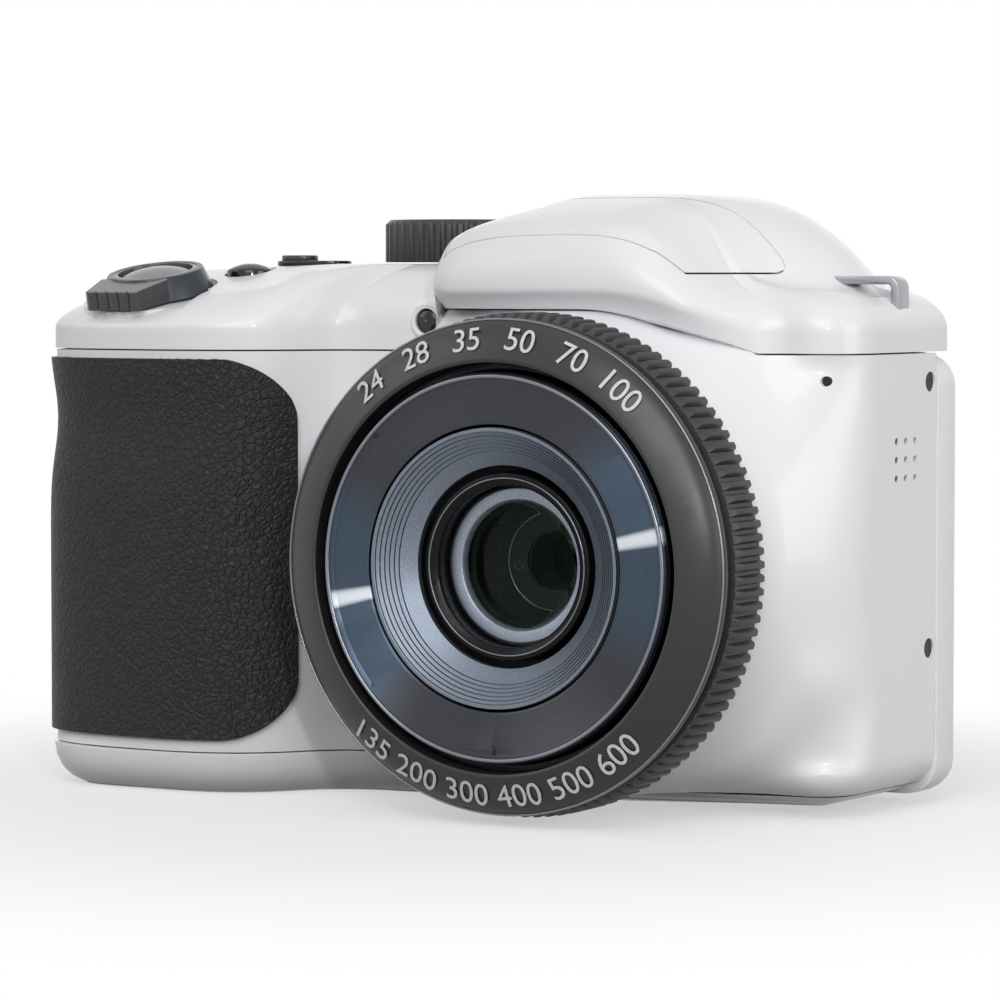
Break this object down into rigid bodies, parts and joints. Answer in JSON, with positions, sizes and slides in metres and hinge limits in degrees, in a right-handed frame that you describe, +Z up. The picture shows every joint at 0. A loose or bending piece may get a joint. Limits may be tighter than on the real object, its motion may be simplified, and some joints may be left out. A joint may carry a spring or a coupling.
{
  "type": "bridge camera",
  "caption": "Bridge camera with a two-stage zoom in a knurled turret, pop-up flash, rubber grip, dial, keys, screen and a hinged battery door.",
  "frame": {"origin": "mouth of the tripod socket, in the base under the optical axis", "axes": "the lens looks along -Y, the grip is at -X, +Z is up"},
  "size_m": [0.1097, 0.0529, 0.0737],
  "materials": {
    "white_plastic": "gloss white",
    "grip_rubber": "leather-grain black",
    "black_plastic": "satin black",
    "grey_plastic": "satin dark grey",
    "black_gloss": "gloss black",
    "spun_metal": "spun dark anodised",
    "steel": "bright",
    "glass": "coated clear",
    "mirror": "bright",
    "board": "green laminate",
    "brass": "bright",
    "cell_jacket": "printed jacket"
  },
  "bodies": {
    "camera_body": {"front_cover": "white_plastic", "top_cover": "white_plastic", "rear_cover": "white_plastic", "bottom_cover": "white_plastic", "grip_rubber": "grip_rubber", "chassis_plate": "steel", "tripod_bush": "steel", "strap_lugs": "steel", "case_screws": "steel", "lamp_window": "black_gloss", "lens_bezel": "black_plastic", "knurled_ring": "grey_plastic", "dust_seal": "grip_rubber", "fixed_barrel": "black_plastic", "guide_rods": "steel", "zoom_motor": "steel", "image_sensor": "mirror", "sensor_board": "board", "flash_bracket": "steel", "flash_pin": "steel", "power_plate": "black_plastic", "switch_board": "board", "key_mat": "grip_rubber", "screen_window": "black_gloss", "screen_module": "steel", "main_board": "board", "speaker": "black_plastic", "microphone": "steel", "card_socket": "steel", "cells": "cell_jacket", "cell_holder": "black_plastic", "cell_contacts": "brass", "door_pin": "steel"},
    "zoom_stage": {"zoom_barrel": "spun_metal", "barrel_trim": "spun_metal"},
    "nose_stage": {"nose_barrel": "black_plastic", "ribbed_baffle": "black_plastic", "lens_cell": "black_plastic", "retaining_ring": "spun_metal", "front_glass": "glass", "iris_unit": "black_plastic"},
    "focus_stage": {"focus_carriage": "black_plastic", "focus_glass": "glass"},
    "flash_lid": {"flash_cover": "white_plastic", "flash_window": "glass", "flash_reflector": "mirror", "flash_tube": "glass"},
    "shutter_key": {"shutter_button": "spun_metal"},
    "zoom_key": {"zoom_lever": "grey_plastic"},
    "burst_key": {"burst_button": "black_gloss"},
    "power_key": {"power_button": "grey_plastic"},
    "mode_key": {"mode_dial": "grey_plastic"},
    "record_key": {"record_button": "grey_plastic"},
    "menu_key": {"menu_button": "grey_plastic"},
    "play_key": {"play_button": "grey_plastic"},
    "delete_key": {"delete_button": "grey_plastic"},
    "pad_key": {"nav_pad": "grey_plastic"},
    "ok_key": {"ok_button": "grey_plastic"},
    "door": {"battery_door": "white_plastic"},
    "latch": {"door_latch": "grey_plastic"}
  },
  "joints": [
    {"name": "zoom_extend", "type": "slide", "parent": "camera_body", "child": "zoom_stage", "axis": [0, -1, 0], "range_m": [0, 0.017]},
    {"name": "nose_extend", "type": "slide", "parent": "zoom_stage", "child": "nose_stage", "axis": [0, -1, 0], "range_m": [0, 0.013]},
    {"name": "focus_travel", "type": "slide", "parent": "camera_body", "child": "focus_stage", "axis": [0, -1, 0], "range_m": [0, 0.003]},
    {"name": "flash_lift", "type": "hinge", "parent": "camera_body", "child": "flash_lid", "pos_m": [0, -0.0076, 0.0712], "axis": [-1, 0, 0], "range_deg": [0, 45]},
    {"name": "shutter_press", "type": "slide", "parent": "camera_body", "child": "shutter_key", "axis": [0, 0.2079, -0.9781], "range_m": [0, 0.0006], "stiffness_N_per_m": 600},
    {"name": "zoom_lever_turn", "type": "hinge", "parent": "camera_body", "child": "zoom_key", "pos_m": [-0.0592, -0.018, 0.0613], "axis": [0, -0.2079, 0.9781], "range_deg": [-22, 22], "stiffness_Nm_per_rad": 0.02},
    {"name": "burst_press", "type": "slide", "parent": "camera_body", "child": "burst_key", "axis": [0, 0, -1], "range_m": [0, 0.0005], "stiffness_N_per_m": 600},
    {"name": "power_press", "type": "slide", "parent": "camera_body", "child": "power_key", "axis": [0, 0, -1], "range_m": [0, 0.0005], "stiffness_N_per_m": 600},
    {"name": "mode_turn", "type": "hinge", "parent": "camera_body", "child": "mode_key", "pos_m": [-0.0278, 0.003, 0.0655], "axis": [0, 0, 1], "continuous": true},
    {"name": "record_press", "type": "slide", "parent": "camera_body", "child": "record_key", "axis": [0, -1, 0], "range_m": [0, 0.0006], "stiffness_N_per_m": 600},
    {"name": "menu_press", "type": "slide", "parent": "camera_body", "child": "menu_key", "axis": [0, -1, 0], "range_m": [0, 0.0006], "stiffness_N_per_m": 600},
    {"name": "play_press", "type": "slide", "parent": "camera_body", "child": "play_key", "axis": [0, -1, 0], "range_m": [0, 0.0006], "stiffness_N_per_m": 600},
    {"name": "delete_press", "type": "slide", "parent": "camera_body", "child": "delete_key", "axis": [0, -1, 0], "range_m": [0, 0.0006], "stiffness_N_per_m": 600},
    {"name": "ok_press", "type": "slide", "parent": "camera_body", "child": "ok_key", "axis": [0, -1, 0], "range_m": [0, 0.0006], "stiffness_N_per_m": 600},
    {"name": "pad_tilt", "type": "hinge", "parent": "camera_body", "child": "pad_key", "pos_m": [-0.055, 0.0122, 0.0255], "axis": [1, 0, 0], "range_deg": [-2, 2], "stiffness_Nm_per_rad": 0.3},
    {"name": "door_swing", "type": "hinge", "parent": "camera_body", "child": "door", "pos_m": [-0.059, 0.0049, 0.0009], "axis": [1, 0, 0], "range_deg": [0, 85]},
    {"name": "latch_slide", "type": "slide", "parent": "door", "child": "latch", "axis": [0, 1, 0], "range_m": [0, 0.002], "stiffness_N_per_m": 200}
  ],
  "couplings": [
    {"joint": "nose_extend", "follows": "zoom_extend", "ratio": 0.7647}
  ]
}
